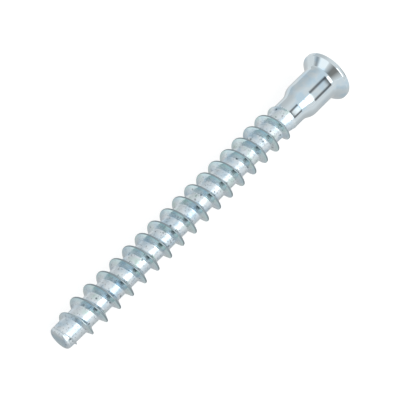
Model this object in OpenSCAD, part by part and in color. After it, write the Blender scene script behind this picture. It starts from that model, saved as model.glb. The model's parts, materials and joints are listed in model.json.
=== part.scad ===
// One-piece furniture connector screw: a flat head with a hex socket, a countersink that runs
// into the plain shank in a fillet, a tapered neck and a deep coarse thread that runs down to
// a blunt guide tip. All lengths are in millimetres and all angles in degrees.
// The screw lies on its side, tip towards -X and head towards +X, rolled to where it comes
// to rest: it touches the ground at the rim of its head and at its first thread crests.

/* [Overall] */
// Length from the blunt tip to the flat top of the head
length = 70; // [50:1:100]

/* [Head] */
// Diameter of the head over its rim
head_d = 10; // [9:0.1:12]
// Height of the straight rim, with its rounded top edge
rim_h = 1; // [0.6:0.1:2]
// Radius of the rounded edges above and below the rim
rim_round = 0.25; // [0.1:0.05:0.5]
// Angle between the countersink's cone and the axis
flare_angle = 47; // [40:1:60]
// Radius of the hollow fillet between the countersink and the shank
flare_r = 1; // [0.5:0.1:3]

/* [Socket] */
// Width of the hex socket across its flats
socket_af = 4; // [3:0.5:5]
// Depth of the straight walls of the socket
socket_depth = 3; // [2:0.1:3.5]
// Depth of the cone at the bottom of the socket
socket_point = 0.8; // [0.4:0.1:1.2]
// Depth of the chamfer round the mouth of the socket
socket_chamfer = 0.3; // [0.1:0.05:0.5]

/* [Shank] */
// Diameter of the plain shank
shank_d = 6.8; // [6.4:0.1:8]
// Length of the plain shank
shank_l = 4.25; // [1:0.05:10]

/* [Neck] */
// Length of the S-shaped taper between the shank and the neck
taper_l = 2.95; // [1.5:0.05:6]
// Diameter of the neck
neck_d = 5.25; // [4.8:0.05:6]
// Length of the neck between the taper and the rolled part
neck_l = 2.2; // [0.4:0.05:4]
// Depth of the fine step where the rolled part starts
rolled_step = 0.04; // [0.02:0.01:0.1]
// Length of the rolled neck that carries no thread
rolled_l = 0.1; // [0.1:0.05:6]

/* [Thread] */
// Diameter over the thread crests
thread_d = 6.8; // [6:0.1:8]
// Diameter at the thread root
root_d = 4.4; // [3.8:0.1:5]
// Distance from one turn to the next
pitch = 3.15; // [2.5:0.05:4]
// Width of the crest
crest_w = 0.36; // [0.2:0.02:0.6]
// Width of the ridge half way up its flanks
waist_w = 0.86; // [0.7:0.02:1.1]
// Width of the ridge at its foot
foot_w = 1.68; // [1.2:0.02:2]
// Turns over which the thread rises from the tip to its full height
rise_turns = 1.6875; // [1:0.0625:3]
// Curve of that rise: 1 is an even rise, less is steeper at the start
rise_curve = 0.7; // [0.5:0.05:1]
// Turns over which the thread fades out into the neck
fade_turns = 1.125; // [0.5:0.125:2]

/* [Tip] */
// Diameter of the blunt guide tip
tip_d = 4.3; // [3.6:0.1:4.8]
// Radius of the rounded edge of the tip
tip_round = 0.55; // [0.2:0.05:1]
// Length of the straight guide between the rounded edge and the start of the thread
tip_l = 0.15; // [0.05:0.05:3]

/* [Hidden] */

// Fineness: facets in one turn of the thread, steps in each arc of an outline, facets of a revolve
turn_facets = 32;
arc_steps = 8;
revolve_facets = 96;

// Heights along the axis, from the tip at zero up to the top of the head. The countersink's cone
// is tangent to its fillet and to the rim's rounded edge.
rim_z = length - rim_h;
head_reach = (head_d - shank_d) / 2;
cone_l = (head_reach - (flare_r + rim_round) * (1 - cos(flare_angle))) / sin(flare_angle);
flare_h = (flare_r + rim_round) * sin(flare_angle) + cone_l * cos(flare_angle);
shank_top = rim_z - flare_h;
shank_bottom = shank_top - shank_l;
taper_bottom = shank_bottom - taper_l;
neck_bottom = taper_bottom - neck_l;
thread_top = neck_bottom - rolled_l;
thread_bottom = tip_round + tip_l;

// The taper is an S of two equal arcs that are tangent to each other, the shank and the neck
taper_drop = (shank_d - neck_d) / 2;
taper_angle = 2 * atan2(taper_drop, taper_l);
taper_r = taper_l / (2 * sin(taper_angle));

// The rolled part below the neck, and how far it is rooted in the neck
rolled_r = neck_d / 2 - rolled_step;
rolled_root = neck_l / 2;

// Steps along the thread, and those over which it rises and fades
thread_steps = floor((thread_top - thread_bottom) / pitch * turn_facets);
rise_steps = round(rise_turns * turn_facets);
fade_steps = round(fade_turns * turn_facets);

// Rest: the screw rolls until the rising thread meets the sloping line from the rim to the crest
// one turn on. The last facet of that crest before they meet lies on the ground.
rest_slope = (head_d - thread_d) / 2 / (rim_z - thread_bottom - pitch * (rise_turns + 1));
rest_share = 1 - pitch * rest_slope / ((thread_d - tip_d) / 2);
rest_step = turn_facets + floor(rise_steps * pow(rest_share, 1 / rise_curve)) - 1;

// Half outline across the ridge, as height along the axis and radius, from foot over crest to foot
waist_r = (root_d + thread_d) / 4;
ridge = [
    [-foot_w / 2, root_d / 2],
    [-waist_w / 2, waist_r],
    [-crest_w / 2, thread_d / 2],
    [crest_w / 2, thread_d / 2],
    [waist_w / 2, waist_r],
    [foot_w / 2, root_d / 2]
];
last = len(ridge) - 1;

// Points on an arc in an outline, as radius and height
function arc(centre, r, from, to) = [
    for (i = [0:arc_steps])
        let (a = from + (to - from) * i / arc_steps)
        centre + r * [cos(a), sin(a)]
];

// Half outline of head, shank and neck, from the neck up
function body_outline() = concat(
    [[0, neck_bottom], [neck_d / 2, neck_bottom]],
    arc([neck_d / 2 + taper_r, taper_bottom], taper_r, 180, 180 - taper_angle),
    arc([shank_d / 2 - taper_r, shank_bottom], taper_r, -taper_angle, 0),
    arc([shank_d / 2 + flare_r, shank_top], flare_r, 180, 180 - flare_angle),
    arc([head_d / 2 - rim_round, rim_z], rim_round, -flare_angle, 0),
    arc([head_d / 2 - rim_round, length - rim_round], rim_round, 0, 90),
    [[0, length]]
);

// Share of its full height that the thread has at a step, and the bare shaft's radius there
function share(k) = min(1, pow(k / rise_steps, rise_curve), (thread_steps - k) / fade_steps);
function shaft_r(k) = k < thread_steps / 2 ? tip_d / 2 : rolled_r;

// Angle of a step round the axis: the middle of the facet that lies on the ground is at zero
function step_angle(k) = 360 * (k - rest_step - 0.5) / turn_facets;
function around(r, k, z) = [r * cos(step_angle(k)), r * sin(step_angle(k)), z];

// Point m of the ridge's outline at step k: the ridge grows out of the bare shaft
function ridge_point(k, m) =
    around(
        shaft_r(k) + share(k) * (ridge[m].y - shaft_r(k)),
        k,
        thread_bottom + pitch * k / turn_facets + share(k) * ridge[m].x
    );

// Two triangles for four corners that run anticlockwise as seen from outside
function quad(a, b, c, d) = [[a, c, b], [a, d, c]];

// Triangles from a hub to each side of a row of corners that runs anticlockwise
function fan(hub, row) = [for (i = [0:len(row) - 2]) [hub, row[i + 1], row[i]]];

module rolled_shaft() {
    // The tip's rounded edge as rings from the end face up, then one ring inside the neck
    tip_edge = arc([tip_d / 2 - tip_round, tip_round], tip_round, -90, 0);
    rings = concat(tip_edge, [[rolled_r, neck_bottom + rolled_root]]);
    top = len(rings) - 1;
    ring_points = [
        for (ring = rings)
            for (k = [0:turn_facets - 1])
                around(ring.x, k, ring.y)
    ];
    function ring_at(j, k) = j * turn_facets + k % turn_facets;

    // The ridge: one point where it starts, a row of points at each step, one point where it ends
    start = len(ring_points);
    end = start + 1 + (thread_steps - 1) * len(ridge);
    thread_points = concat(
        [ridge_point(0, 0)],
        [for (k = [1:thread_steps - 1]) for (m = [0:last]) ridge_point(k, m)],
        [ridge_point(thread_steps, 0)]
    );
    function at(k, m) =
        k == 0 ? start : k == thread_steps ? end : start + 1 + (k - 1) * len(ridge) + m;

    tip_faces = [
        for (j = [0:top - 2])
            for (k = [0:turn_facets - 1])
                each quad(ring_at(j, k), ring_at(j, k + 1), ring_at(j + 1, k + 1), ring_at(j + 1, k))
    ];
    ridge_faces = [
        for (k = [1:thread_steps - 2])
            for (m = [0:last - 1])
                each quad(at(k, m), at(k + 1, m), at(k + 1, m + 1), at(k, m + 1))
    ];
    ridge_ends = concat(
        fan(start, [for (m = [0:last]) at(1, m)]),
        fan(end, [for (m = [last:-1:0]) at(thread_steps - 1, m)])
    );
    // The root between one turn and the next
    one_turn_less = thread_steps - turn_facets;
    root_faces = [
        for (k = [1:one_turn_less - 2])
            each quad(
                at(k, last),
                at(k + 1, last),
                at(k + 1 + turn_facets, 0),
                at(k + turn_facets, 0)
            )
    ];
    root_ends = concat(
        quad(start, at(1, last), at(turn_facets + 1, 0), at(turn_facets, 0)),
        quad(at(one_turn_less - 1, last), at(one_turn_less, last), end, at(thread_steps - 1, 0))
    );
    // The shaft below the first turn, and above the last
    below = [
        for (k = [1:turn_facets - 2])
            each quad(ring_at(top - 1, k), ring_at(top - 1, k + 1), at(k + 1, 0), at(k, 0))
    ];
    below_ends = concat(
        quad(ring_at(top - 1, 0), ring_at(top - 1, 1), at(1, 0), start),
        fan(
            at(turn_facets - 1, 0),
            [ring_at(top - 1, turn_facets - 1), ring_at(top - 1, 0), start, at(turn_facets, 0)]
        )
    );
    above = [
        for (k = [one_turn_less + 1:thread_steps - 2])
            each quad(at(k, last), at(k + 1, last), ring_at(top, k + 1), ring_at(top, k))
    ];
    above_ends = concat(
        quad(at(thread_steps - 1, last), end, ring_at(top, thread_steps), ring_at(top, thread_steps - 1)),
        fan(
            at(one_turn_less + 1, last),
            [ring_at(top, one_turn_less + 1), ring_at(top, one_turn_less), end, at(one_turn_less, last)]
        )
    );
    caps = [
        [for (k = [0:turn_facets - 1]) ring_at(0, k)],
        [for (k = [turn_facets - 1:-1:0]) ring_at(top, k)]
    ];
    polyhedron(
        concat(ring_points, thread_points),
        concat(
            tip_faces, ridge_faces, ridge_ends, root_faces, root_ends,
            below, below_ends, above, above_ends, caps
        ),
        convexity = 10
    );
}

// Hex socket with a chamfered mouth and a conical bottom, cut down from the top of the head
module socket() {
    corner_r = socket_af / 2 / cos(30);
    bottom = length - socket_depth;
    translate([0, 0, bottom])
        cylinder(r = corner_r, h = socket_depth + 1, $fn = 6);
    translate([0, 0, bottom - socket_point])
        cylinder(r1 = 0, r2 = socket_af / 2, h = socket_point, $fn = revolve_facets);
    translate([0, 0, length - socket_chamfer])
        cylinder(
            r1 = socket_af / 2,
            r2 = socket_af / 2 + 2 * socket_chamfer,
            h = 2 * socket_chamfer,
            $fn = revolve_facets
        );
}

module upright_screw() {
    difference() {
        rotate_extrude($fn = revolve_facets)
            polygon(body_outline());
        socket();
    }
    rolled_shaft();
}

// Tilt of the axis at rest, from the crest's facet and the lower edge of the rim, and the ground's height
crest_z = thread_bottom + pitch * rest_step / turn_facets - crest_w / 2;
crest_drop = thread_d / 2 * cos(180 / turn_facets);
rest_run = rim_z - crest_z;
rest_rise = head_d / 2 - rim_round - crest_drop;
rest_tilt = atan2(rest_rise, rest_run) + asin(rim_round / norm([rest_run, rest_rise]));
ground = crest_z * sin(rest_tilt) - crest_drop * cos(rest_tilt);

// Ends of the lying screw along the ground, to set the origin half way between them
tip_x = tip_round * (cos(rest_tilt) - 1) - (tip_d / 2 - tip_round) * sin(rest_tilt);
head_x = length * cos(rest_tilt) + rim_round * (1 - cos(rest_tilt)) + (head_d / 2 - rim_round) * sin(rest_tilt);

module screw() {
    color("lightsteelblue")
        translate([-(tip_x + head_x) / 2, 0, -ground])
            rotate([0, 90 - rest_tilt, 0])
                upright_screw();
}

screw();
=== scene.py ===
"""Studio scene of a one-piece furniture connector screw, laid out as a Blender add-on.

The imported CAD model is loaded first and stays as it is. The screw is then built again as one
smooth mesh in the same place, given its zinc plate, and set in a white studio.
"""

import json
import math

import bpy
from bpy.props import FloatProperty, FloatVectorProperty, PointerProperty
from mathutils import Matrix, Vector


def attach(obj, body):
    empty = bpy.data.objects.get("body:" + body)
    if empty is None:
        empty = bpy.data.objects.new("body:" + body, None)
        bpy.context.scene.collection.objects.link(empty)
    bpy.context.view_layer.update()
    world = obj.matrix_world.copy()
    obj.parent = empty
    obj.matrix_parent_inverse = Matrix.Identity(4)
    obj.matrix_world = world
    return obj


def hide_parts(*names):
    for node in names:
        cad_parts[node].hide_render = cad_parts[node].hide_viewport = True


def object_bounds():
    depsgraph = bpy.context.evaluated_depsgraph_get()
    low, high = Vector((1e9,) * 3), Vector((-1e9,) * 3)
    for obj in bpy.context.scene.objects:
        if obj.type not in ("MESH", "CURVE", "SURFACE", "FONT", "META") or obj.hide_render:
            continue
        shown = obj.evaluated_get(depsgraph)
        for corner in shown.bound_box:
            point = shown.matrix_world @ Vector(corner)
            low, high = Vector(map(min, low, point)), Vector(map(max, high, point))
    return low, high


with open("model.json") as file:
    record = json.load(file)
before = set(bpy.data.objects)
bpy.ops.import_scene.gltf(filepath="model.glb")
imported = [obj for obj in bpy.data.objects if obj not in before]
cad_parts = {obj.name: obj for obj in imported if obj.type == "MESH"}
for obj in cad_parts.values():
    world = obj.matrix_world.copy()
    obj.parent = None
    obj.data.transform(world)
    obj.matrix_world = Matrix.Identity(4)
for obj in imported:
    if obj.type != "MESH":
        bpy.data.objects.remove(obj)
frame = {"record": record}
CAD_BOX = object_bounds()

bl_info = {
    "name": "Connector screw",
    "version": (1, 0, 0),
    "blender": (4, 5, 0),
    "location": "3D View > Sidebar > Connector screw",
    "description": "Builds a zinc-plated furniture connector screw and a white studio round it",
    "category": "Object",
}

MM = 0.001
PHOTO_SIDE = 400
SENSOR_WIDTH = 36.0

# Fineness of the mesh: columns of faces in one turn, steps in each kind of arc, and the least angle between
# two faces that stays a sharp edge
COLUMNS = 96
TAPER_ARC_STEPS = 14
FLARE_ARC_STEPS = 28
EDGE_ARC_STEPS = 6
TIP_ARC_STEPS = 8
FOOT_ARC_STEPS = 4
CREST_ARC_STEPS = 4
SHARP_ANGLE = math.radians(38)

# Extra points near both ends of a straight run keep it straight in the light, as a share of its length
SUPPORT_SHARE = 0.03

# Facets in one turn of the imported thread: the smooth crest stays inside them
CAD_FACETS = 32

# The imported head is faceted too: the smooth rim is a hair smaller than its box, in millimetres,
# and so is the whole length
RIM_HAIR = 0.012
LENGTH_HAIR = 0.001
HEAD_D = (CAD_BOX[1][1] - CAD_BOX[0][1]) / MM - RIM_HAIR

# Least width of the rings at the socket's mouth and bottom, in metres, so that no face there has no area
SOCKET_HAIR = 0.01 * MM

# Rings of the tip: shares of the end face's radius, and for the guide shares of its length and of the
# groove's depth there
END_FACE_RINGS = (0.4, 0.8)
GUIDE_RINGS = ((0.04, 0.0), (0.5, 1.0), (0.96, 0.0))

# Share of the roots' grain, pits and specks on the sheared end face
END_FACE_GRAIN = 0.4


def linear(hex_colour):
    """An sRGB hex colour as linear red, green, blue and a full alpha."""
    channels = [int(hex_colour[i : i + 2], 16) / 255 for i in (1, 3, 5)]
    return [c / 12.92 if c <= 0.04045 else ((c + 0.055) / 1.055) ** 2.4 for c in channels] + [1.0]


def size(name, description, millimetres):
    """A length that a user may change, kept in metres."""
    return FloatProperty(
        name=name, description=description, default=millimetres * MM, min=0.0, unit="LENGTH", precision=5
    )


def angle(name, description, degrees):
    """An angle that a user may change, kept in radians."""
    return FloatProperty(name=name, description=description, default=math.radians(degrees), subtype="ANGLE")


def share(name, description, default, most=1.0):
    """A share or level that a user may change."""
    return FloatProperty(
        name=name, description=description, default=default, min=0.0, max=most, subtype="FACTOR"
    )


def colour(name, description, hex_colour):
    """A colour that a user may change, given as sRGB hex."""
    return FloatVectorProperty(
        name=name,
        description=description,
        default=linear(hex_colour),
        size=4,
        min=0.0,
        max=1.0,
        subtype="COLOR",
    )


class ConnectorScrewSizes(bpy.types.PropertyGroup):
    """Sizes of the screw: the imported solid's, but for a thinner rim, a higher run-out and finer edges"""

    length: size("Length", "From the blunt tip to the flat top of the head", 70 - LENGTH_HAIR)
    head_d: size("Head diameter", "Over the rim of the head", HEAD_D)
    rim_h: size("Rim height", "Straight rim of the head, with its rounded top edge", 0.7)
    rim_round: size("Rim rounding", "Radius of the edges above and below the rim", 0.25)
    flare_angle: angle("Countersink angle", "Between the countersink's cone and the axis", 47)
    flare_r: size("Countersink fillet", "Radius of the hollow between countersink and shank", 0.85)
    socket_af: size("Socket width", "Across the flats of the hex socket", 4)
    socket_depth: size("Socket depth", "Straight walls of the socket", 3)
    socket_point: size("Socket point", "Depth of the cone at the socket's bottom", 0.8)
    socket_chamfer: size("Socket chamfer", "Chamfer round the mouth of the socket", 0.3)
    shank_d: size("Shank diameter", "Plain shank under the head", 6.8)
    shank_l: size("Shank length", "Plain shank under the head", 4.615)
    taper_l: size("Taper length", "S-shaped taper between the shank and the neck", 2.95)
    neck_d: size("Neck diameter", "Neck above the rolled part", 5.25)
    neck_l: size("Neck length", "From the taper down to the rolled part", 2.2)
    rolled_step: size("Rolled step", "Fine step where the rolled part starts", 0.04)
    rolled_l: size("Rolled neck length", "Rolled neck that carries no thread", 0.1)
    thread_d: size("Thread diameter", "Over the crests", 6.8)
    root_d: size("Root diameter", "At the bottom of the thread", 4.4)
    pitch: size("Pitch", "From one turn to the next", 3.15)
    crest_w: size("Crest width", "Width of the ridge at its crest", 0.22)
    waist_w: size("Waist width", "Width of the ridge half way up", 0.86)
    crest_round: size("Crest rounding", "Radius of the two edges of the crest", 0.08)
    foot_round: size("Foot rounding", "Radius of the hollow between flank and root", 0.12)
    tip_d: size("Tip diameter", "Blunt guide tip", 4.3)
    tip_round: size("Tip rounding", "Radius of the rounded edge of the tip", 0.55)
    tip_l: size("Tip length", "Straight guide below the start of the thread", 0.15)
    tip_groove: size("Tip groove", "Depth of the fine groove that the dies leave in that guide", 0.08)
    rise_turns: FloatProperty(
        name="Rise", description="Turns over which the thread rises to its full height", default=1.6875
    )
    rise_curve: FloatProperty(
        name="Rise curve", description="1 is an even rise, less is steeper at the start", default=0.7
    )
    fade_turns: FloatProperty(
        name="Fade", description="Turns over which the thread fades into the neck", default=1.125
    )
    fade_curve: FloatProperty(
        name="Fade curve", description="1 is an even fade, less is steeper at the end", default=0.5
    )
    rest_turns: FloatProperty(
        name="Rest turn",
        description="Turns from the thread's start to the crest on the ground",
        default=2.484375,
    )


class ConnectorScrewFinish(bpy.types.PropertyGroup):
    """Finish of the screw: bright zinc plate with a thin blue passivation"""

    zinc: colour("Zinc", "Bright zinc plate on the drawn and headed surfaces", "#CAD5DA")
    flank_film: colour("Flank film", "Plate and film on the flanks of the thread", "#C5E0E3")
    root_plate: colour("Root plate", "Plate on the rolled roots, which the dies have burnished", "#D6DFE4")
    blue_film: colour("Blue film", "Where the passivation is a little thicker", "#B9CEDB")
    straw_film: colour("Straw film", "Where the passivation is a little thinner", "#C2D7D3")
    seam: colour("Seam", "Dull seam along the crests, which the dies don't touch", "#8C999F")
    pit: colour("Pits", "Small pits in the rolled roots", "#68727A")
    head_roughness: share("Head roughness", "Drawn and headed surfaces", 0.02)
    flank_roughness: share("Flank roughness", "Rolled flanks of the thread", 0.06)
    root_roughness: share("Root roughness", "Rolled roots of the thread", 0.32)
    crest_roughness: share("Crest roughness", "Seam along the crests", 0.42)
    end_roughness: share("End roughness", "Sheared end face of the tip", 0.42)
    film_patch: size("Film patch", "Width of a patch of the passivation", 2.2)
    peel_grain: size("Peel grain", "Width of the grain on the rolled roots", 0.5)
    peel_depth: size("Peel depth", "Depth of the grain on the rolled roots", 0.018)
    head_grain: share("Head grain", "Share of that grain on flanks and headed surfaces", 0.002)
    pit_spacing: size("Pit spacing", "Distance from one pit to the next", 0.6)
    pit_share: share("Pit share", "Share of the places for pits that hold one", 0.09)
    speck_width: size("Speck width", "Width of the fine dull specks on the rolled roots", 0.32)
    speck_strength: share("Speck strength", "How far the specks go to the pits' colour", 0.7)


class ConnectorScrewStudio(bpy.types.PropertyGroup):
    """Camera, light and floor of the white studio"""

    view_plan: angle("View plan angle", "From the screw's length to the picture's right", 49.29)
    view_elevation: angle("View elevation", "Camera's height above the horizon", 56.13)
    view_distance: size("View distance", "From the camera to the middle of the screw", 236.357)
    view_right: size("View to the right", "How far the screw's middle is right of the view's middle", 0.227)
    view_up: size("View up", "How far the screw's middle is above the view's middle", 0.067)
    focal_pixels: FloatProperty(
        name="Focal length in pixels", description="Focal length as pixels of the picture", default=1388.4
    )
    key_turn: angle("Key turn", "Softbox: round the screw from the camera's side", 27)
    key_lean: angle("Key lean", "Softbox: leaning to the head's end", -1.5)
    key_spread: angle("Key spread", "Softbox: half its angle across the screw", 21)
    key_reach: angle("Key reach", "Softbox: half its angle along the screw", 24.5)
    key_radiance: share("Key level", "Softbox's level, where 1 is white", 1.9, most=4.0)
    card_distance: size("Card distance", "From the softbox and the cards to the screw", 2000)
    sky_level: share("Sky level", "Light that the white studio gives to matt surfaces", 0.45)
    far_wall: share("Far wall", "Level of the studio's far side, where 1 is white", 0.76)
    floor: colour("Floor", "Pale paper floor", "#BFC0C0")
    floor_glow: share("Floor glow", "What brings the paper up to white in the picture", 0.76)
    # The next four set the screw's shade that is painted, as a glow, on the paper seen in the metal
    shade_shift: size("Shade shift", "How far the screw's soft shade falls away from the softbox", 2)
    shade_reach: size("Shade reach", "How far the screw's soft shade reaches on the paper", 18)
    shade_core: size("Shade core", "Half width of the deepest shade", 2.5)
    shade_level: share("Shade level", "Level of the paper in the deepest shade, where 1 is white", 0.56)


# Geometry of the screw, in metres along and away from its own axis


def arc(centre, radius, start, end, steps):
    """Points on an arc of an outline, between two angles in degrees."""
    turns = [math.radians(start + (end - start) * i / steps) for i in range(steps + 1)]
    return [(centre[0] + radius * math.cos(t), centre[1] + radius * math.sin(t)) for t in turns]


def with_supports(stretches):
    """One outline from its stretches, with extra points near both ends of the straight runs between them."""
    outline = list(stretches[0])
    for stretch in stretches[1:]:
        start, end = Vector(outline[-1]), Vector(stretch[0])
        outline += [tuple(start.lerp(end, part)) for part in (SUPPORT_SHARE, 1 - SUPPORT_SHARE)]
        outline += stretch
    return outline


def heights(s):
    """Heights along the axis, from the tip at zero up to the top of the head."""
    bends = s.flare_r + s.rim_round
    cosine, sine = math.cos(s.flare_angle), math.sin(s.flare_angle)
    cone_l = ((s.head_d - s.shank_d) / 2 - bends * (1 - cosine)) / sine
    z = {"rim": s.length - s.rim_h}
    z["shank_top"] = z["rim"] - bends * sine - cone_l * cosine
    z["shank_bottom"] = z["shank_top"] - s.shank_l
    z["taper_bottom"] = z["shank_bottom"] - s.taper_l
    z["neck_bottom"] = z["taper_bottom"] - s.neck_l
    z["thread_top"] = z["neck_bottom"] - s.rolled_l
    z["thread_bottom"] = s.tip_round + s.tip_l
    return z


def head_outline(s, z):
    """Half outline of neck, taper, shank, flare and rim, as radius and height, from the neck up."""
    taper_angle = 2 * math.degrees(math.atan2((s.shank_d - s.neck_d) / 2, s.taper_l))
    taper_r = s.taper_l / (2 * math.sin(math.radians(taper_angle)))
    flare_angle = math.degrees(s.flare_angle)
    flare = (s.shank_d / 2 + s.flare_r, z["shank_top"])
    rim_r = s.head_d / 2 - s.rim_round
    hollow = (s.neck_d / 2 + taper_r, z["taper_bottom"])
    shoulder = (s.shank_d / 2 - taper_r, z["shank_bottom"])
    taper = arc(hollow, taper_r, 180, 180 - taper_angle, TAPER_ARC_STEPS)
    taper += arc(shoulder, taper_r, -taper_angle, 0, TAPER_ARC_STEPS)[1:]
    return with_supports([
        [(s.neck_d / 2, z["neck_bottom"] + s.rolled_step)],
        taper,
        arc(flare, s.flare_r, 180, 180 - flare_angle, FLARE_ARC_STEPS),
        arc((rim_r, z["rim"]), s.rim_round, -flare_angle, 0, EDGE_ARC_STEPS),
        arc((rim_r, s.length - s.rim_round), s.rim_round, 0, 90, EDGE_ARC_STEPS),
        [(s.socket_af / 2 + 2 * s.socket_chamfer, s.length)],
    ])


def hex_radius(s, turn):
    """Distance from the axis to the hex socket's wall in one direction."""
    sixth = math.radians(60)
    return s.socket_af / 2 / math.cos(turn % sixth - sixth / 2)


def ridge_outline(s):
    """Outline across the thread's ridge, from foot to foot: offset along the axis, radius, crest or not."""
    crest_r = s.thread_d / 2 * math.cos(math.pi / CAD_FACETS)
    waist_r = (s.thread_d + s.root_d) / 4
    lean = math.atan2((s.waist_w - s.crest_w) / 2, s.thread_d / 2 - waist_r)

    def flank(radius):
        return s.crest_w / 2 + (s.thread_d / 2 - radius) * math.tan(lean)

    edge_r = crest_r - s.crest_round
    edge = (flank(edge_r) - s.crest_round / math.cos(lean), edge_r)
    foot_r = s.root_d / 2 + s.foot_round
    foot = (flank(foot_r) + s.foot_round / math.cos(lean), foot_r)
    lean_degrees = math.degrees(lean)
    crest = arc(edge, s.crest_round, 90, lean_degrees, CREST_ARC_STEPS)
    hollow = arc(foot, s.foot_round, 180 + lean_degrees, 270, FOOT_ARC_STEPS)
    points = with_supports([crest, hollow]) + [(foot[0] + s.foot_round, s.root_d / 2)]
    upper = [(*point, 1.0 if number < len(crest) else 0.0) for number, point in enumerate(points)]
    return [(-offset, radius, top) for offset, radius, top in reversed(upper)] + upper


class ScrewSurface:
    """Points, faces and zones of the screw's surface, gathered piece by piece."""

    def __init__(self, s, mount):
        self.s = s
        self.z = heights(s)
        self.axis = Vector(mount["axis"]).normalized()
        self.tip = Vector(mount["pos_m"]) - self.axis * s.length
        self.down = Vector((self.axis.z, 0.0, -self.axis.x))
        self.side = self.axis.cross(self.down)
        self.rest_column = int(s.rest_turns * COLUMNS)
        self.points = []
        self.faces = []
        self.zones = {"root": [], "rolled": [], "crest": [], "end_face": []}

    def turn(self, column):
        return 2 * math.pi * (column - self.rest_column) / COLUMNS

    def add(self, radius, column, height, **zones):
        """One point of the surface and the zones it lies in; gives its number."""
        turn = self.turn(column)
        out = self.down * math.cos(turn) + self.side * math.sin(turn)
        self.points.append(self.tip + self.axis * height + out * radius)
        for zone, values in self.zones.items():
            values.append(zones.get(zone, 0.0))
        return len(self.points) - 1

    def ring(self, radius, height, **zones):
        return [self.add(radius, column, height, **zones) for column in range(COLUMNS)]

    def band(self, lower, upper):
        """Faces between two rings."""
        for column in range(COLUMNS):
            after = (column + 1) % COLUMNS
            self.faces.append((lower[column], lower[after], upper[after], upper[column]))

    def fan(self, hub, row):
        """Faces from a hub to each side of a row that runs anticlockwise as seen from outside."""
        self.faces.extend((hub, row[i], row[i + 1]) for i in range(len(row) - 1))


def build_tip(surface):
    """The sheared end face, rounded edge and guide of the tip; gives the ring where the shaft starts."""
    s = surface.s
    face_r = s.tip_d / 2 - s.tip_round
    end = {"root": END_FACE_GRAIN, "rolled": 1.0, "end_face": 1.0}
    hub = surface.add(0.0, 0, 0.0, **end)
    rings = [surface.ring(face_r * part, 0.0, **end) for part in END_FACE_RINGS]
    edge = arc((face_r, s.tip_round), s.tip_round, -90, 0, TIP_ARC_STEPS)
    for number, (radius, height) in enumerate(edge):
        rings.append(surface.ring(radius, height, root=1.0, rolled=1.0, end_face=1.0 if number == 0 else 0.0))
    for part, depth in GUIDE_RINGS:
        radius = s.tip_d / 2 - depth * s.tip_groove
        rings.append(surface.ring(radius, s.tip_round + part * s.tip_l, root=1.0, rolled=1.0))
    surface.fan(hub, list(reversed(rings[0])) + [rings[0][-1]])
    for lower, upper in zip(rings, rings[1:]):
        surface.band(lower, upper)
    return rings[-1]


def build_thread(surface, tip_ring, neck_ring):
    """The ridge of the thread, the root between its turns, and the shaft below and above it."""
    s, z = surface.s, surface.z
    ridge = ridge_outline(s)
    last = len(ridge) - 1
    steps = int((z["thread_top"] - z["thread_bottom"]) / s.pitch * COLUMNS)
    rise, fade = s.rise_turns * COLUMNS, s.fade_turns * COLUMNS
    rest_z = z["thread_bottom"] + s.pitch * s.rest_turns

    def ridge_row(k):
        full = min(1.0, (k / rise) ** s.rise_curve, ((steps - k) / fade) ** s.fade_curve)
        shaft_r = s.tip_d / 2 if k < steps / 2 else s.neck_d / 2 - s.rolled_step
        height = rest_z + s.pitch * (k - surface.rest_column) / COLUMNS
        row = []
        for offset, radius, top in ridge:
            root = 1.0 if radius <= s.root_d / 2 + s.foot_round else 1.0 - full
            away = shaft_r + full * (radius - shaft_r)
            row.append(surface.add(away, k, height + full * offset, root=root, rolled=1.0, crest=top * full))
        return row

    start_height = rest_z - s.pitch * surface.rest_column / COLUMNS
    start = surface.add(s.tip_d / 2, 0, start_height, root=1.0, rolled=1.0)
    rows = [None] + [ridge_row(k) for k in range(1, steps)] + [None]
    end_height = rest_z + s.pitch * (steps - surface.rest_column) / COLUMNS
    end = surface.add(s.neck_d / 2 - s.rolled_step, steps, end_height, root=1.0, rolled=1.0)

    def at(k, m):
        return start if k == 0 else end if k == steps else rows[k][m]

    def quad(*corners):
        surface.faces.append(corners)

    # The ridge itself, closed to one point at each end
    for k in range(1, steps - 1):
        for m in range(last):
            quad(at(k, m), at(k + 1, m), at(k + 1, m + 1), at(k, m + 1))
    surface.fan(start, [at(1, m) for m in range(last + 1)])
    surface.fan(end, [at(steps - 1, m) for m in range(last, -1, -1)])

    # The root between one turn and the next
    last_turn = steps - COLUMNS
    for k in range(1, last_turn - 1):
        quad(at(k, last), at(k + 1, last), at(k + 1 + COLUMNS, 0), at(k + COLUMNS, 0))
    quad(start, at(1, last), at(COLUMNS + 1, 0), at(COLUMNS, 0))
    quad(at(last_turn - 1, last), at(last_turn, last), end, at(steps - 1, 0))

    # The shaft below the first turn
    for k in range(1, COLUMNS - 1):
        quad(tip_ring[k], tip_ring[k + 1], at(k + 1, 0), at(k, 0))
    quad(tip_ring[0], tip_ring[1], at(1, 0), start)
    surface.fan(at(COLUMNS - 1, 0), [tip_ring[COLUMNS - 1], tip_ring[0], start, at(COLUMNS, 0)])

    # The shaft above the last turn
    def neck(k):
        return neck_ring[k % COLUMNS]

    for k in range(last_turn + 1, steps - 1):
        quad(at(k, last), at(k + 1, last), neck(k + 1), neck(k))
    quad(at(steps - 1, last), end, neck(steps), neck(steps - 1))
    surface.fan(at(last_turn + 1, last), [neck(last_turn + 1), neck(last_turn), end, at(last_turn, last)])


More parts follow.
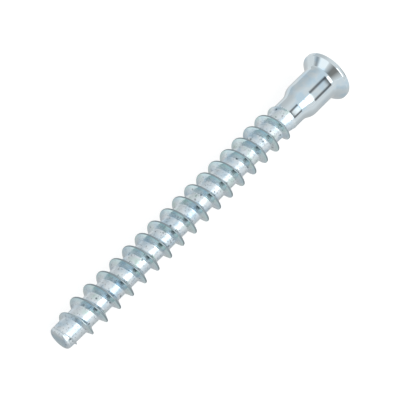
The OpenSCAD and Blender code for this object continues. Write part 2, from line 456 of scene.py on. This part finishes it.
def build_head(surface, neck_ring):
    """The neck's step, the taper, the shank, the flare, the rim and the flat top with its hex socket."""
    s = surface.s
    rings = [neck_ring]
    rings += [surface.ring(radius, height) for radius, height in head_outline(s, surface.z)]
    bottom = s.length - s.socket_depth
    walls = [hex_radius(s, surface.turn(column)) for column in range(COLUMNS)]
    mouth = [max(s.socket_af / 2 + s.socket_chamfer, wall + SOCKET_HAIR) for wall in walls]
    lip = s.length - s.socket_chamfer - s.socket_af / 2
    lips = [min(s.length - SOCKET_HAIR, lip + wall) for wall in walls]
    columns = range(COLUMNS)
    rings.append([surface.add(mouth[k], k, s.length) for k in columns])
    rings.append([surface.add(walls[k], k, lips[k]) for k in columns])
    rings.append([surface.add(walls[k], k, bottom) for k in columns])
    rings.append(surface.ring(s.socket_af / 2 - SOCKET_HAIR, bottom))
    for lower, upper in zip(rings, rings[1:]):
        surface.band(lower, upper)
    point = surface.add(0.0, 0, bottom - s.socket_point)
    surface.fan(point, rings[-1] + [rings[-1][0]])


def screw_mesh(s, mount):
    """The whole screw as one closed mesh, with its zones as attributes."""
    surface = ScrewSurface(s, mount)
    neck_ring = surface.ring(s.neck_d / 2 - s.rolled_step, surface.z["neck_bottom"], root=1.0, rolled=1.0)
    build_thread(surface, build_tip(surface), neck_ring)
    build_head(surface, neck_ring)
    mesh = bpy.data.meshes.new("connector_screw")
    mesh.from_pydata(surface.points, [], surface.faces)
    if mesh.validate():
        raise RuntimeError("the screw's mesh had broken faces")
    for zone, values in surface.zones.items():
        mesh.attributes.new(zone, "FLOAT", "POINT").data.foreach_set("value", values)
    mesh.shade_smooth()
    mesh.set_sharp_from_angle(angle=SHARP_ANGLE)
    return mesh


# Materials

WHITE = (1.0, 1.0, 1.0, 1.0)

# Sockets of a mix node for its two colours and their mix, which share their names with other sockets
MIX_UNDER = 6
MIX_OVER = 7
MIX_RESULT = 2

# Levels of a noise, or distances from a pit's middle, between which something goes from nothing to its
# full share
BLUE_FILM_LEVELS = (0.48, 0.68)
STRAW_FILM_LEVELS = (0.44, 0.28)
SPECK_LEVELS = (0.57, 0.74)
PIT_DISTANCES = (0.42, 0.16)

# How rich the noises are, and how much the roots' grain is drawn out each way
PATCH_DETAIL = 2.0
SPECK_DETAIL = 2.0
PEEL_DETAIL = 3.0
PEEL_STRETCH = (1.0, 0.6, 0.6)


def add_node(tree, kind, settings, links):
    """Adds one node; settings name its options or sockets, links join its sockets to other nodes' outputs."""
    node = tree.nodes.new(kind)
    for name, value in settings.items():
        if isinstance(name, int) or name in node.inputs:
            node.inputs[name].default_value = value
        else:
            setattr(node, name, value)
    for name, source in links.items():
        tree.links.new(source, node.inputs[name])
    return node


def empty_material(name):
    material = bpy.data.materials.new(name)
    material.use_nodes = True
    material.node_tree.nodes.clear()
    return material, material.node_tree


def per_metre(width):
    """Scale of a pattern in object coordinates whose grain is that wide."""
    return 1.0 / width


def zinc_plated_steel(finish):
    """Cold-headed, thread-rolled steel wire under bright zinc plate with a thin blue passivation.

    The plate is a bright bluish metal. The clear film over it drifts a little to blue and to straw, in
    soft patches, and is teal on the flanks of the thread. Drawn and headed surfaces are smooth and mirror
    the studio. The dies leave the roots pale, with a satin grain, pits and dull specks, and the crests with
    a dull seam. The sheared end of the tip is dull. Grain, pits and specks are finer on the real screw, and
    are drawn as coarse as they need to show in the picture.
    """
    material, tree = empty_material("zinc_plated_rolled_steel")
    place = add_node(tree, "ShaderNodeTexCoord", {}, {}).outputs["Object"]
    root = add_node(tree, "ShaderNodeAttribute", {"attribute_name": "root"}, {}).outputs["Fac"]
    rolled = add_node(tree, "ShaderNodeAttribute", {"attribute_name": "rolled"}, {}).outputs["Fac"]
    crest = add_node(tree, "ShaderNodeAttribute", {"attribute_name": "crest"}, {}).outputs["Fac"]
    end_face = add_node(tree, "ShaderNodeAttribute", {"attribute_name": "end_face"}, {}).outputs["Fac"]
    metal = add_node(tree, "ShaderNodeBsdfPrincipled", {"Metallic": 1.0}, {})

    # The film on the flanks, and its patches everywhere
    flank = add_node(tree, "ShaderNodeMapRange", {"To Max": 0.0}, {"Value": root, "To Min": rolled})
    patch = add_node(
        tree,
        "ShaderNodeTexNoise",
        {"Scale": per_metre(finish.film_patch), "Detail": PATCH_DETAIL},
        {"Vector": place},
    )
    to_blue = add_node(
        tree,
        "ShaderNodeMapRange",
        {"From Min": BLUE_FILM_LEVELS[0], "From Max": BLUE_FILM_LEVELS[1]},
        {"Value": patch.outputs["Fac"]},
    )
    to_straw = add_node(
        tree,
        "ShaderNodeMapRange",
        {"From Min": STRAW_FILM_LEVELS[0], "From Max": STRAW_FILM_LEVELS[1]},
        {"Value": patch.outputs["Fac"], "To Max": rolled},
    )

    # Pits in the rolled roots: some of the places for them hold one
    places = add_node(
        tree, "ShaderNodeTexVoronoi", {"Scale": per_metre(finish.pit_spacing)}, {"Vector": place}
    )
    chance = add_node(tree, "ShaderNodeSeparateColor", {}, {"Color": places.outputs["Color"]})
    held = add_node(
        tree,
        "ShaderNodeMath",
        {"operation": "LESS_THAN", 1: finish.pit_share},
        {0: chance.outputs["Red"]},
    )
    in_root = add_node(
        tree, "ShaderNodeMath", {"operation": "MULTIPLY"}, {0: held.outputs["Value"], 1: root}
    )
    pit = add_node(
        tree,
        "ShaderNodeMapRange",
        {"From Min": PIT_DISTANCES[0], "From Max": PIT_DISTANCES[1]},
        {"Value": places.outputs["Distance"], "To Max": in_root.outputs["Value"]},
    )

    # Fine dull specks between the pits
    grit = add_node(
        tree,
        "ShaderNodeTexNoise",
        {"Scale": per_metre(finish.speck_width), "Detail": SPECK_DETAIL},
        {"Vector": place},
    )
    speck_level = add_node(
        tree, "ShaderNodeMath", {"operation": "MULTIPLY", 1: finish.speck_strength}, {0: root}
    )
    speck = add_node(
        tree,
        "ShaderNodeMapRange",
        {"From Min": SPECK_LEVELS[0], "From Max": SPECK_LEVELS[1]},
        {"Value": grit.outputs["Fac"], "To Max": speck_level.outputs["Value"]},
    )
    marked = add_node(
        tree,
        "ShaderNodeMath",
        {"operation": "MAXIMUM"},
        {0: pit.outputs["Result"], 1: speck.outputs["Result"]},
    )

    # Colour: from the plate up, each layer covers the one before where its share says so
    plate = {"data_type": "RGBA", MIX_UNDER: finish.zinc}
    below = {}
    for covered, tint in (
        (flank.outputs["Result"], finish.flank_film),
        (root, finish.root_plate),
        (to_blue.outputs["Result"], finish.blue_film),
        (to_straw.outputs["Result"], finish.straw_film),
        (marked.outputs["Value"], finish.pit),
        (crest, finish.seam),
    ):
        layer = add_node(tree, "ShaderNodeMix", {**plate, MIX_OVER: tint}, {"Factor": covered, **below})
        below = {MIX_UNDER: layer.outputs[MIX_RESULT]}
    tree.links.new(below[MIX_UNDER], metal.inputs["Base Color"])

    # Roughness of headed, rolled and sheared surfaces: each zone takes over from the one before
    roughness = add_node(
        tree,
        "ShaderNodeMapRange",
        {"To Min": finish.head_roughness, "To Max": finish.flank_roughness},
        {"Value": rolled},
    )
    for zone, level in (
        (root, finish.root_roughness),
        (crest, finish.crest_roughness),
        (end_face, finish.end_roughness),
    ):
        roughness = add_node(
            tree,
            "ShaderNodeMapRange",
            {"To Max": level},
            {"Value": zone, "To Min": roughness.outputs["Result"]},
        )
    tree.links.new(roughness.outputs["Result"], metal.inputs["Roughness"])

    # Grain of the rolled roots, drawn out a little round the shaft
    drawn_out = add_node(tree, "ShaderNodeMapping", {"Scale": PEEL_STRETCH}, {"Vector": place})
    peel = add_node(
        tree,
        "ShaderNodeTexNoise",
        {"Scale": per_metre(finish.peel_grain), "Detail": PEEL_DETAIL},
        {"Vector": drawn_out.outputs["Vector"]},
    )
    pitted = add_node(
        tree, "ShaderNodeMath", {"operation": "SUBTRACT"}, {0: peel.outputs["Fac"], 1: pit.outputs["Result"]}
    )
    grain_share = add_node(tree, "ShaderNodeMapRange", {"To Min": finish.head_grain}, {"Value": root})
    grain = add_node(
        tree,
        "ShaderNodeMath",
        {"operation": "MULTIPLY"},
        {0: pitted.outputs["Value"], 1: grain_share.outputs["Result"]},
    )
    bump = add_node(
        tree,
        "ShaderNodeBump",
        {"Distance": finish.peel_depth},
        {"Height": grain.outputs["Value"]},
    )
    tree.links.new(bump.outputs["Normal"], metal.inputs["Normal"])
    add_node(tree, "ShaderNodeOutputMaterial", {}, {"Surface": metal.outputs["BSDF"]})
    return material


def seen_share(tree):
    """Socket that is 1 for rays from the camera or from a mirror or glass, and 0 for matt light."""
    path = add_node(tree, "ShaderNodeLightPath", {}, {})
    seen = add_node(
        tree,
        "ShaderNodeMath",
        {"operation": "MAXIMUM"},
        {0: path.outputs["Is Camera Ray"], 1: path.outputs["Is Glossy Ray"]},
    )
    return add_node(
        tree,
        "ShaderNodeMath",
        {"operation": "MAXIMUM"},
        {0: seen.outputs["Value"], 1: path.outputs["Is Transmission Ray"]},
    ).outputs["Value"]


def matt_paper(name, paper_colour, glow_level):
    """Matt white background paper: even and pale, with no gloss; it glows just enough to read as white."""
    material, tree = empty_material(name)
    glow = add_node(tree, "ShaderNodeMath", {"operation": "MULTIPLY", 1: glow_level}, {0: seen_share(tree)})
    paper = add_node(
        tree,
        "ShaderNodeBsdfPrincipled",
        {
            "Base Color": paper_colour,
            "Roughness": 1.0,
            "Specular IOR Level": 0.0,
            "Emission Color": WHITE,
        },
        {"Emission Strength": glow.outputs["Value"]},
    )
    add_node(tree, "ShaderNodeOutputMaterial", {}, {"Surface": paper.outputs["BSDF"]})
    return material


def lit_cloth(name, hex_colour, level):
    """Evenly lit woven cloth of a card: in the metal it is a darker or lighter place with soft edges."""
    material, tree = empty_material(name)
    inside = add_node(tree, "ShaderNodeAttribute", {"attribute_name": "inside"}, {})
    cloth = add_node(tree, "ShaderNodeEmission", {"Color": linear(hex_colour), "Strength": level}, {})
    clear = add_node(tree, "ShaderNodeBsdfTransparent", {}, {})
    edged = add_node(
        tree,
        "ShaderNodeMixShader",
        {},
        {0: inside.outputs["Fac"], 1: clear.outputs["BSDF"], 2: cloth.outputs["Emission"]},
    )
    add_node(tree, "ShaderNodeOutputMaterial", {}, {"Surface": edged.outputs["Shader"]})
    return material


def paper_with_painted_shade(studio):
    """Matt white paper with the screw's soft shade painted on as a glow, which the metal mirrors: darkest
    close to the screw.
    """
    material, tree = empty_material("matt_white_paper_with_painted_shade")
    place = add_node(tree, "ShaderNodeTexCoord", {}, {})
    parts = add_node(tree, "ShaderNodeSeparateXYZ", {}, {"Vector": place.outputs["Object"]})
    shifted = add_node(
        tree, "ShaderNodeMath", {"operation": "SUBTRACT", 1: studio.shade_shift}, {0: parts.outputs["Y"]}
    )
    away = add_node(tree, "ShaderNodeMath", {"operation": "ABSOLUTE"}, {0: shifted.outputs["Value"]})
    # Painted shade: the paper's glow drops from white to the shade level close to the screw
    level = add_node(
        tree,
        "ShaderNodeMapRange",
        {"From Min": studio.shade_core, "From Max": studio.shade_reach, "To Min": studio.shade_level},
        {"Value": away.outputs["Value"]},
    )
    paper = add_node(
        tree,
        "ShaderNodeEmission",
        {"Color": WHITE},
        {"Strength": level.outputs["Result"]},
    )
    add_node(tree, "ShaderNodeOutputMaterial", {}, {"Surface": paper.outputs["Emission"]})
    return material


# Studio

# Nearest thing that the camera shows, half the sides of the floor and of the sheet with the painted shade,
# all in metres
CLIP_START = 0.01
FLOOR_REACH = 3.0
SHADE_SHEET_REACH = 0.2
SHADE_SHEET_LIFT = 0.02 * MM

# Middle of the studio's far side, in degrees as for the cards, and how near to it the grey starts and is
# full, as the cosine of the angle
FAR_WALL_TURN = -95.0
FAR_WALL_LEAN = 15.0
FAR_WALL_EDGE = (0.55, 0.95)


class StudioPlan:
    """Directions of the studio, worked out from where the screw lies and how the camera sees it."""

    def __init__(self, studio, s, mount):
        self.axis = Vector(mount["axis"]).normalized()
        self.middle = Vector(mount["pos_m"]) - self.axis * (s.length / 2)
        plan, lift = studio.view_plan, studio.view_elevation
        self.right = Vector((math.cos(plan), -math.sin(plan), 0.0))
        self.forward = Vector(
            (math.sin(plan) * math.cos(lift), math.cos(plan) * math.cos(lift), -math.sin(lift))
        )
        self.up = self.right.cross(self.forward)
        # Across the screw: towards the camera, and towards the picture's lower right
        to_camera = -self.forward
        self.front = (to_camera - self.axis * to_camera.dot(self.axis)).normalized()
        self.lower = self.axis.cross(self.front)

    def direction(self, turn, lean):
        """Direction from the screw: turned round it from the camera's side, leaning to the head's end."""
        round_screw = self.front * math.cos(turn) + self.lower * math.sin(turn)
        return self.axis * math.sin(lean) + round_screw * math.cos(lean)

    def facing(self, turn, lean, distance):
        """Place of something flat that faces the screw, its X along the screw and its -Z to it."""
        out = self.direction(turn, lean)
        along = (self.axis - out * self.axis.dot(out)).normalized()
        across = out.cross(along)
        matrix = Matrix((along, across, out)).transposed().to_4x4()
        matrix.translation = self.middle + out * distance
        return matrix


def place_camera(context, studio, plan):
    camera = bpy.data.objects.new("photo_camera", bpy.data.cameras.new("photo_camera"))
    context.scene.collection.objects.link(camera)
    aim = plan.middle - plan.right * studio.view_right - plan.up * studio.view_up
    matrix = Matrix((plan.right, plan.up, -plan.forward)).transposed().to_4x4()
    matrix.translation = aim - plan.forward * studio.view_distance
    camera.matrix_world = matrix
    camera.data.sensor_width = SENSOR_WIDTH
    camera.data.lens = studio.focal_pixels / PHOTO_SIDE * SENSOR_WIDTH
    camera.data.clip_start = CLIP_START
    context.scene.camera = camera


def stage_sheet(context, name, rows, material):
    """Stage piece made of one sheet, whose points are given row by row."""
    points = [point for row in rows for point in row]
    wide = len(rows[0])
    faces = [
        (i * wide + j, i * wide + j + 1, (i + 1) * wide + j + 1, (i + 1) * wide + j)
        for i in range(len(rows) - 1)
        for j in range(wide - 1)
    ]
    mesh = bpy.data.meshes.new(name)
    mesh.from_pydata(points, [], faces)
    mesh.materials.append(material)
    sheet = bpy.data.objects.new(name, mesh)
    context.scene.collection.objects.link(sheet)
    return sheet


def only_in_mirrors(sheet):
    """Lets a card show in the metal and nowhere else."""
    sheet.visible_camera = False
    sheet.visible_diffuse = False
    sheet.visible_shadow = False
    sheet.visible_transmission = False


def place_key(context, studio, plan):
    """The softbox: a lamp that faces the screw."""
    lamp = bpy.data.lights.new("key_softbox", "AREA")
    lamp.shape = "RECTANGLE"
    lamp.size = 2 * studio.card_distance * math.tan(studio.key_reach)
    lamp.size_y = 2 * studio.card_distance * math.tan(studio.key_spread)
    # A lamp's power is given, not its level: that is pi times its area times the level
    lamp.energy = math.pi * lamp.size * lamp.size_y * studio.key_radiance
    key = bpy.data.objects.new("key_softbox", lamp)
    key.matrix_world = plan.facing(studio.key_turn, studio.key_lean, studio.card_distance)
    key.visible_camera = False
    context.scene.collection.objects.link(key)


# Curved cards round the screw, the nearest first: name, colour, level, where they start and end, in degrees
# round the screw from the camera's side and in degrees leaning to the head's end, and how wide their soft
# edge is each way
CARDS = (
    ("near_rod", "#58585C", 1.0, (-12.5, 13.5), (28.7, 32.0), (13.0, 0.0)),
    ("far_rod", "#505054", 1.0, (43.5, 71.5), (28.7, 32.0), (14.0, 0.0)),
    ("near_cross_rod", "#141416", 1.0, (3.0, 53.0), (28.9, 29.33), (4.0, 0.0)),
    ("far_cross_rod", "#141416", 1.0, (-6.0, 62.0), (31.32, 32.0), (8.0, 0.2)),
    ("softbox_lip", "#FFFFFF", 1.5, (0.0, 57.0), (29.33, 30.4), (0.0, 0.1)),
    ("softbox_skirt", "#FFFFFF", 1.7, (6.0, 48.0), (22.8, 28.9), (2.0, 0.0)),
    ("lamp_housing", "#0A0A0B", 1.0, (15.0, 70.0), (32.6, 54.0), (7.0, 0.6)),
    ("tip_flag", "#969390", 1.0, (-44.0, 64.0), (-89.0, -34.0), (40.0, 20.0)),
    ("panel_stand", "#8E9094", 1.0, (-124.0, -86.0), (-80.0, -30.0), (14.0, 10.0)),
    ("fill_panel", "#FFFFFF", 1.35, (-92.0, -38.0), (-72.0, -36.0), (10.0, 10.0)),
)
# Longest side of a card's faces, in degrees, fewest faces along one side, and distance from card to card
CARD_STEP = 2.0
CARD_LEAST_FACES = 4
CARD_GAP = 2 * MM


def place_cards(context, studio, plan):
    """The softbox's rods and edges, lamp housing, flag, panel and its stand, seen in the metal alone."""

    def stretch(start, end):
        count = max(CARD_LEAST_FACES, math.ceil((end - start) / CARD_STEP))
        return [start + (end - start) * i / count for i in range(count + 1)]

    def cover(at, start, end, soft):
        return min(1.0, (at - start) / soft, (end - at) / soft) if soft else 1.0

    for layer, (name, hex_colour, level, turns, leans, soft) in enumerate(CARDS):
        away = studio.card_distance + layer * CARD_GAP
        spots = [[(turn, lean) for turn in stretch(*turns)] for lean in stretch(*leans)]
        rows = [
            [
                plan.middle + plan.direction(math.radians(turn), math.radians(lean)) * away
                for turn, lean in row
            ]
            for row in spots
        ]
        card = stage_sheet(context, name, rows, lit_cloth(name + "_cloth", hex_colour, level))
        inside = [
            cover(turn, *turns, soft[0]) * cover(lean, *leans, soft[1])
            for row in spots
            for turn, lean in row
        ]
        card.data.attributes.new("inside", "FLOAT", "POINT").data.foreach_set("value", inside)
        only_in_mirrors(card)


def place_floor(context, studio):
    """The paper floor, and the same paper with the screw's shade painted on, which shows in the metal alone.
    """

    def level_sheet(reach, height):
        return [[(-reach, y, height), (reach, y, height)] for y in (-reach, reach)]

    floor = matt_paper("matt_white_paper", studio.floor, studio.floor_glow)
    stage_sheet(context, "paper_floor", level_sheet(FLOOR_REACH, 0.0), floor)
    in_shade = level_sheet(SHADE_SHEET_REACH, SHADE_SHEET_LIFT)
    shade = stage_sheet(context, "paper_shade", in_shade, paper_with_painted_shade(studio))
    only_in_mirrors(shade)


def light_sky(context, studio, plan):
    """White studio all round, greyer at its far side; softer on matt surfaces than in the metal."""
    world = bpy.data.worlds.new("white_studio")
    world.use_nodes = True
    tree = world.node_tree
    tree.nodes.clear()
    gaze = add_node(tree, "ShaderNodeTexCoord", {}, {})
    middle = plan.direction(math.radians(FAR_WALL_TURN), math.radians(FAR_WALL_LEAN))
    far_side = add_node(
        tree,
        "ShaderNodeVectorMath",
        {"operation": "DOT_PRODUCT", 1: middle},
        {0: gaze.outputs["Generated"]},
    )
    wall = add_node(
        tree,
        "ShaderNodeMapRange",
        {
            "From Min": FAR_WALL_EDGE[0],
            "From Max": FAR_WALL_EDGE[1],
            "To Min": 1.0,
            "To Max": studio.far_wall,
        },
        {"Value": far_side.outputs["Value"]},
    )
    level = add_node(
        tree,
        "ShaderNodeMapRange",
        {"To Min": studio.sky_level},
        {"Value": seen_share(tree), "To Max": wall.outputs["Result"]},
    )
    sky = add_node(
        tree,
        "ShaderNodeBackground",
        {"Color": WHITE},
        {"Strength": level.outputs["Result"]},
    )
    add_node(tree, "ShaderNodeOutputWorld", {}, {"Surface": sky.outputs["Background"]})
    context.scene.world = world


# Operators and panel


def mount_named(name):
    for mount in frame["record"]["mounts"]:
        if mount["name"] == name:
            return mount
    raise RuntimeError("the packed record has no mount named " + name)


class CONNECTOR_SCREW_OT_make_screw(bpy.types.Operator):
    """Build the screw as one smooth mesh and give it its zinc plate"""

    bl_idname = "connector_screw.make_screw"
    bl_label = "Make the screw"

    def execute(self, context):
        scene = context.scene
        mesh = screw_mesh(scene.connector_screw_sizes, mount_named("drive_socket"))
        mesh.materials.append(zinc_plated_steel(scene.connector_screw_finish))
        screw = bpy.data.objects.new("connector_screw", mesh)
        scene.collection.objects.link(screw)
        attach(screw, "root")
        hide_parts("screw")
        return {"FINISHED"}


class CONNECTOR_SCREW_OT_set_studio(bpy.types.Operator):
    """Set the white studio: camera, softbox, cards, paper floor and sky"""

    bl_idname = "connector_screw.set_studio"
    bl_label = "Set the studio"

    def execute(self, context):
        scene = context.scene
        studio = scene.connector_screw_studio
        plan = StudioPlan(studio, scene.connector_screw_sizes, mount_named("drive_socket"))
        place_camera(context, studio, plan)
        place_key(context, studio, plan)
        place_cards(context, studio, plan)
        place_floor(context, studio)
        light_sky(context, studio, plan)
        scene.view_settings.view_transform = "Standard"
        return {"FINISHED"}


class CONNECTOR_SCREW_PT_panel(bpy.types.Panel):
    """Sizes, finish and studio of the connector screw"""

    bl_idname = "CONNECTOR_SCREW_PT_panel"
    bl_label = "Connector screw"
    bl_space_type = "VIEW_3D"
    bl_region_type = "UI"
    bl_category = "Connector screw"

    def draw(self, context):
        for step, group in STEPS:
            box = self.layout.box()
            for settings in group:
                properties = getattr(context.scene, settings)
                for name in properties.bl_rna.properties.keys():
                    if name not in ("rna_type", "name"):
                        box.prop(properties, name)
            box.operator(step.bl_idname)


STEPS = (
    (CONNECTOR_SCREW_OT_make_screw, ("connector_screw_sizes", "connector_screw_finish")),
    (CONNECTOR_SCREW_OT_set_studio, ("connector_screw_studio",)),
)
SETTINGS = {
    "connector_screw_sizes": ConnectorScrewSizes,
    "connector_screw_finish": ConnectorScrewFinish,
    "connector_screw_studio": ConnectorScrewStudio,
}
CLASSES = (*SETTINGS.values(), *(step for step, _ in STEPS), CONNECTOR_SCREW_PT_panel)


def register():
    for cls in CLASSES:
        bpy.utils.register_class(cls)
    for name, cls in SETTINGS.items():
        setattr(bpy.types.Scene, name, PointerProperty(type=cls))


def unregister():
    for name in SETTINGS:
        delattr(bpy.types.Scene, name)
    for cls in reversed(CLASSES):
        bpy.utils.unregister_class(cls)


def main():
    register()
    bpy.ops.connector_screw.make_screw()
    bpy.ops.connector_screw.set_studio()


if __name__ == "__main__":
    main()
